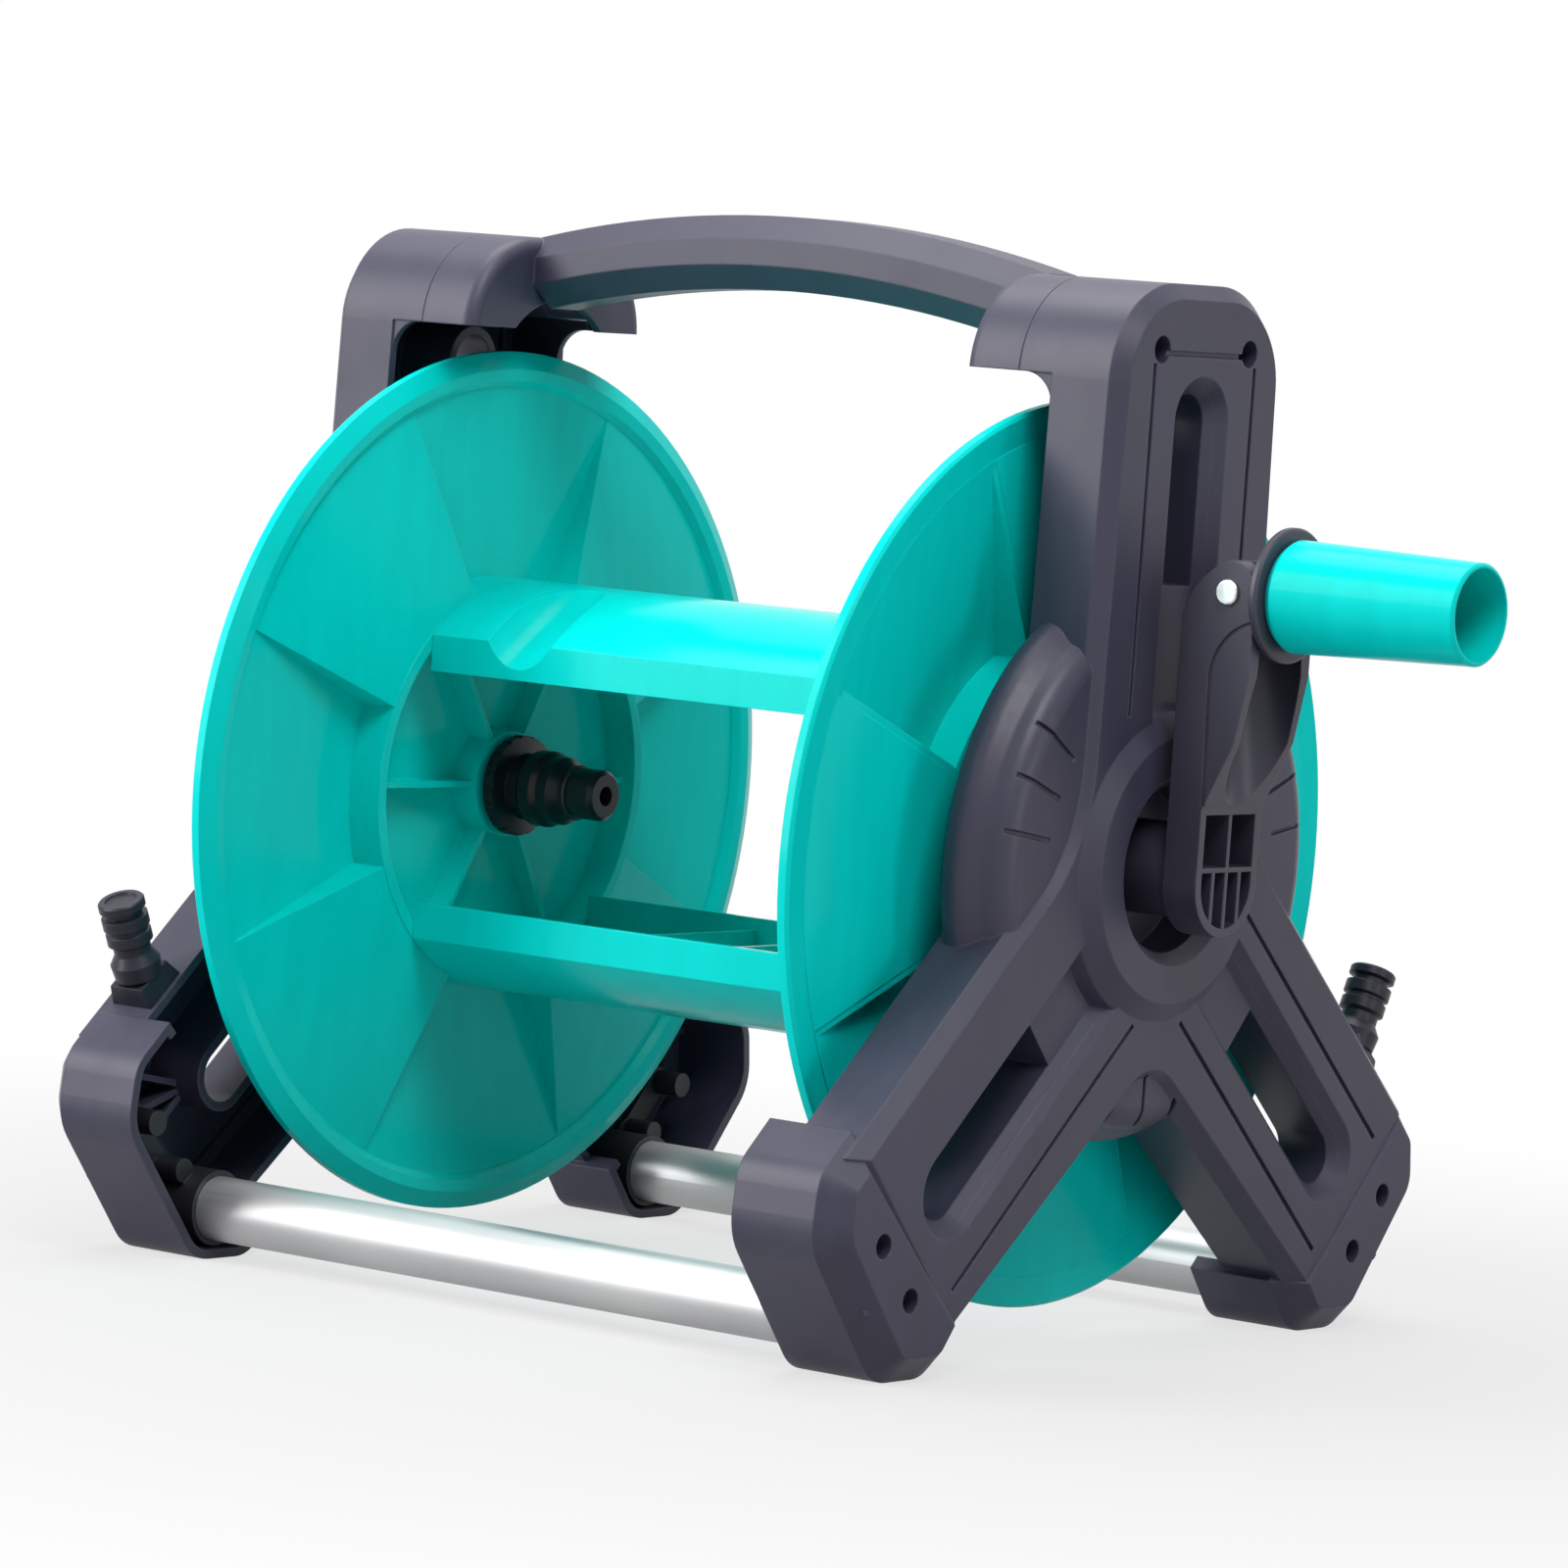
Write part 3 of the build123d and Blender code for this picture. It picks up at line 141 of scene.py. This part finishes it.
frame_grey = moulded("frame_grey", (0.032, 0.030, 0.056), (0.044, 0.042, 0.073),
                     grain=1900.0, depth=0.12, rough=0.40, edge=0.0009, Specular_IOR_Level=0.42)
wear(frame_grey, "right_side_frame", "left_side_frame")


# Bearing bushes: white acetal rings pressed into the frames' hub tubes, with a thrust collar
# on the reel side. Turned smooth, a little waxy.
acetal = moulded("natural_acetal", (0.62, 0.61, 0.57), (0.7, 0.69, 0.65),
                 grain=900.0, depth=0.06, rough=0.38, edge=0.0004)
wear(acetal, "right_bush", "left_bush")


# Tie tubes: two drawn aluminium tubes, satin anodised, that hold the boots of the two frames
# apart. The drawing leaves fine lines along them.
tube_satin, shader, place = new_material("satin_aluminium", Metallic=1.0, Anisotropic=0.35)
lines = place.stretched((1.5, 900.0, 900.0)).noise(1.0, 3.0)
haze = place.noise(14.0, 4.0)
feed(shader, Base_Color=haze.band(0.3, 0.7).blend((0.54, 0.54, 0.55, 1), (0.61, 0.61, 0.61, 1)))
feed(shader, Roughness=lines * 0.12 + haze * 0.08 + 0.42)
feed(shader, Normal=lines.bump(0.06, 0.0001))
wear(tube_satin, "front_tube", "rear_tube")


# Tube sockets: moulded black cups inside the boots that take the tube ends. Each is held to its
# boot by two screws.
socket_black = moulded("socket_black", (0.012, 0.012, 0.016), (0.02, 0.02, 0.025),
                       grain=1500.0, depth=0.1, rough=0.45, edge=0.0005)
wear(socket_black, "front_left_socket", "front_right_socket", "rear_left_socket", "rear_right_socket")


# Screws, bolt, clips and hinge pin: zinc-plated steel, turned and rolled, with a faint
# mottled plating.
zinc, shader, place = new_material("zinc_plate", Metallic=1.0)
mottle = place.noise(420.0, 3.0)
feed(shader, Base_Color=mottle.band(0.3, 0.7).blend((0.6, 0.6, 0.59, 1), (0.74, 0.74, 0.73, 1)))
feed(shader, Roughness=mottle * 0.15 + 0.24)
feed(shader, Normal=mottle.bump(0.08, 0.0001, Normal=soft_edges(place, 0.0004)))
wear(zinc, "handle_screws", "foot_screws", "drum_screws", "drive_bolt", "drive_washer")
wear(zinc, "spindle_clip", "grip_clip", "hinge_pin")


# Carry handle: one hollow moulding in the frames' grey, an arched bar between two hoods that
# close the column tops; screwed on from the outside.
wear(frame_grey, "carry_handle")


# Flanges and drum bars: glossy turquoise polypropylene. Two dished discs with stepped sectors,
# joined by two arched bars that carry the hose.
turquoise = moulded("turquoise_gloss", (0.0006, 0.63, 0.59), (0.001, 0.71, 0.665),
                    grain=350.0, depth=0.015, rough=0.13, edge=0.0006, Specular_IOR_Level=0.05)
wear(turquoise, "left_flange", "right_flange", "upper_drum_bar", "lower_bar")


# Drive shaft, water spindle, hose nipple, inlet elbow and inlet nipple: black glass-filled
# plastic, moulded with a satin skin; the spindle is hollow and feeds the nipple.
fitting_black = moulded("fitting_black", (0.008, 0.008, 0.011), (0.014, 0.014, 0.018),
                        grain=1300.0, depth=0.06, rough=0.3, edge=0.0005, Specular_IOR_Level=0.25)
wear(fitting_black, "drive_shaft", "water_spindle", "hose_nipple", "inlet_elbow", "inlet_nipple")


# Sealing rings: moulded black rubber, slightly dull. They sit on the water spindle and on the
# two nipples.
ring_rubber = moulded("ring_rubber", (0.006, 0.006, 0.006), (0.011, 0.011, 0.011),
                      grain=2200.0, depth=0.1, rough=0.55, edge=0.0003)
wear(ring_rubber, "spindle_seals", "hose_nipple_seal", "inlet_nipple_seal")


# Crank arm and grip holder: the frames' grey plastic, the arm keyed on the drive shaft and the
# holder hinged in its clevis.
crank_grey = moulded("crank_grey", (0.034, 0.032, 0.053), (0.046, 0.044, 0.069),
                     grain=1900.0, depth=0.1, rough=0.38, edge=0.0007, Specular_IOR_Level=0.42)
wear(crank_grey, "crank_arm", "grip_holder")


# Crank grip: a moulded tube in the flanges' turquoise, open at its outer end. It turns on the
# holder's spindle, where a clip keeps it.
wear(turquoise, "crank_grip")


# Parking pegs: closed nipples of near-black plastic on the leg edges, where the hose end is put
# when the reel stands idle. Each has a stud pushed through the leg wall.
peg_black = moulded("peg_black", (0.014, 0.014, 0.023), (0.022, 0.022, 0.034),
                    grain=1500.0, depth=0.08, rough=0.34, edge=0.0005, Specular_IOR_Level=0.25)
wear(peg_black, "right_parking_peg", "left_parking_peg")


# Floor: a pale paper sheet on the studio table, laid flat under the boots. It keeps the reel's
# shadow and runs out to pure white around it.
def ray_kinds(tree):
    """1 for the camera's own rays, and 1 for rays mirrored or let through by a piece."""
    kind = tree.nodes.new("ShaderNodeLightPath").outputs
    return Wire(kind["Is Camera Ray"]), Wire(kind["Is Glossy Ray"]) + Wire(kind["Is Transmission Ray"])


def studio_floor(half):
    """A square floor that reaches half to each side of the origin."""
    mesh = bpy.data.meshes.new("studio_floor")
    corners = [(-half, -half, 0), (half, -half, 0), (half, half, 0), (-half, half, 0)]
    mesh.from_pydata(corners, [], [(0, 1, 2, 3)])
    made = bpy.data.objects.new("studio_floor", mesh)
    bpy.context.scene.collection.objects.link(made)
    paper = bpy.data.materials.new("studio_paper")
    paper.use_nodes = True
    tree = paper.node_tree
    tree.nodes.clear()
    place = Wire(tree.nodes.new("ShaderNodeTexCoord").outputs["Object"])
    camera_ray, mirror_ray = ray_kinds(tree)
    reach = place.node("VectorMath", {"operation": "LENGTH"}, {0: place}, output="Value").band(0.22, 0.75)
    sheet = place.node("BsdfDiffuse", {}, {"Color": (0.42, 0.42, 0.43, 1)})
    white = place.node("Emission", {}, {"Color": (1, 1, 1, 1), "Strength": 1.0})
    share = camera_ray * (reach * 0.3 + 0.7) + mirror_ray * (reach * 0.6 + 0.4)
    mixed = place.node("MixShader", {}, {0: share, 1: sheet, 2: white})
    out = tree.nodes.new("ShaderNodeOutputMaterial")
    tree.links.new(mixed.socket, out.inputs["Surface"])
    mesh.materials.append(paper)


studio_floor(8.0)


# Studio light: a large soft box at the front left, one above, a weaker one high on the right,
# two narrow strips for the gloss of the walls and flanges, and an even white surround.
def soft_box(name, place, aim, width, height, power):
    """A rectangular lamp of so many watts at a place, turned to its aim."""
    lamp = bpy.data.lights.new(name, "AREA")
    lamp.shape = "RECTANGLE"
    lamp.size = width
    lamp.size_y = height
    lamp.energy = power
    made = bpy.data.objects.new(name, lamp)
    made.location = place
    made.rotation_euler = (Vector(aim) - Vector(place)).to_track_quat("-Z", "Y").to_euler()
    bpy.context.scene.collection.objects.link(made)


soft_box("key_box", (-1.5, -1.9, 1.5), (0, 0, 0.18), 1.5, 1.5, 47.0)
soft_box("fill_box", (1.2, -0.9, 2.2), (0, 0, 0.15), 0.9, 1.2, 34.0)
soft_box("top_box", (-0.4, 0.3, 1.9), (0, 0, 0.15), 1.5, 1.2, 27.0)
soft_box("front_strip", (-1.5, -2.0, 0.5), (0, 0, 0.2), 0.6, 0.9, 16.0)
soft_box("side_strip", (2.1, 0.1, 0.5), (0, 0, 0.2), 0.35, 0.9, 5.0)

world = bpy.data.worlds.new("studio_surround")
bpy.context.scene.world = world
world.use_nodes = True
tree = world.node_tree
tree.nodes.clear()
camera_ray, mirror_ray = ray_kinds(tree)
seen = (camera_ray + mirror_ray).band(0, 1)
ambient = 0.21
surround = seen.node("Background", {}, {"Color": (1, 1, 1, 1), "Strength": seen * (1 - ambient) + ambient})
tree.links.new(surround.socket, tree.nodes.new("ShaderNodeOutputWorld").inputs["Surface"])


# Camera: a long lens two and a half metres away, slightly above the reel axis and tilted a few
# degrees, as in the photograph.
lens = bpy.data.cameras.new("photo_camera")
lens.sensor_width = 36.0
lens.lens = 174.64
lens.clip_end = 50.0
camera = bpy.data.objects.new("photo_camera", lens)
camera.location = (1.5188, -2.0434, 0.35484)
turn, rise, tilt = math.radians(37.264), math.radians(4.053), math.radians(4.058)
towards = Vector((-math.cos(rise) * math.sin(turn), math.cos(rise) * math.cos(turn), -math.sin(rise)))
camera.rotation_euler = towards.to_track_quat("-Z", "Y").to_euler()
camera.rotation_euler.rotate_axis("Z", tilt)
bpy.context.scene.collection.objects.link(camera)
bpy.context.scene.camera = camera
bpy.context.scene.view_settings.view_transform = "Standard"
